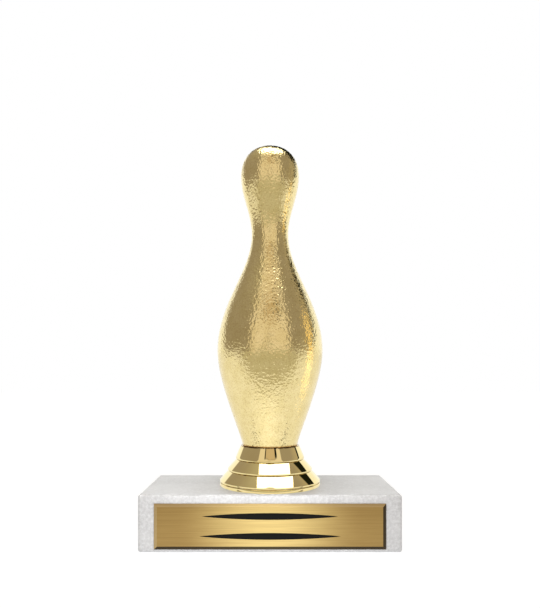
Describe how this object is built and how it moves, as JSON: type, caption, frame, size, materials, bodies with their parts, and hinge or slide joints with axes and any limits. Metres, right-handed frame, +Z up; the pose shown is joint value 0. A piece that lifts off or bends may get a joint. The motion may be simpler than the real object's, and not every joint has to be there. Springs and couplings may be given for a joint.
{
  "type": "bowling pin trophy",
  "caption": "Trophy with a hollow gold bowling pin on a three-tier round foot, bolted from below to a rectangular marble block that carries a bevelled brass plate.",
  "frame": {"origin": "on the surface that the trophy stands on, under the axis of the pin and the bolt, which is the middle of the block", "axes": "+Z up along the pin's axis, +X to the right as seen from the front, -Y towards the front, where the name plate is"},
  "size_m": [0.1016, 0.0454, 0.1646],
  "materials": {
    "marble": "satin",
    "plate_brass": "satin",
    "adhesive_film": "matte",
    "rubber_pad": "matte",
    "zinc_steel": "satin",
    "spring_steel": "satin",
    "nut_steel": "satin",
    "mirror_gold_plastic": "polished",
    "frosted_gold_plastic": "satin"
  },
  "bodies": {
    "base": {"marble_base": "marble", "nameplate": "plate_brass", "plate_adhesive": "adhesive_film", "pad_front_left": "rubber_pad", "pad_front_right": "rubber_pad", "pad_rear_left": "rubber_pad", "pad_rear_right": "rubber_pad", "flat_washer": "zinc_steel"},
    "bolt": {"clamp_bolt": "zinc_steel", "lock_washer": "spring_steel"},
    "figure": {"plinth": "mirror_gold_plastic", "captive_nut": "nut_steel", "pin_front_shell": "frosted_gold_plastic", "pin_rear_shell": "frosted_gold_plastic"}
  },
  "joints": [
    {"name": "bolt_turn", "type": "hinge", "parent": "base", "child": "bolt", "pos_m": [0, 0, 0.00763], "axis": [0, 0, -1], "range_deg": [0, 1800]},
    {"name": "figure_lift", "type": "slide", "parent": "base", "child": "figure", "axis": [0, 0, 1], "range_m": [0, 0.00635]}
  ],
  "couplings": [
    {"joint": "bolt_turn", "follows": "figure_lift", "rad_per_m": 4947.4}
  ]
}
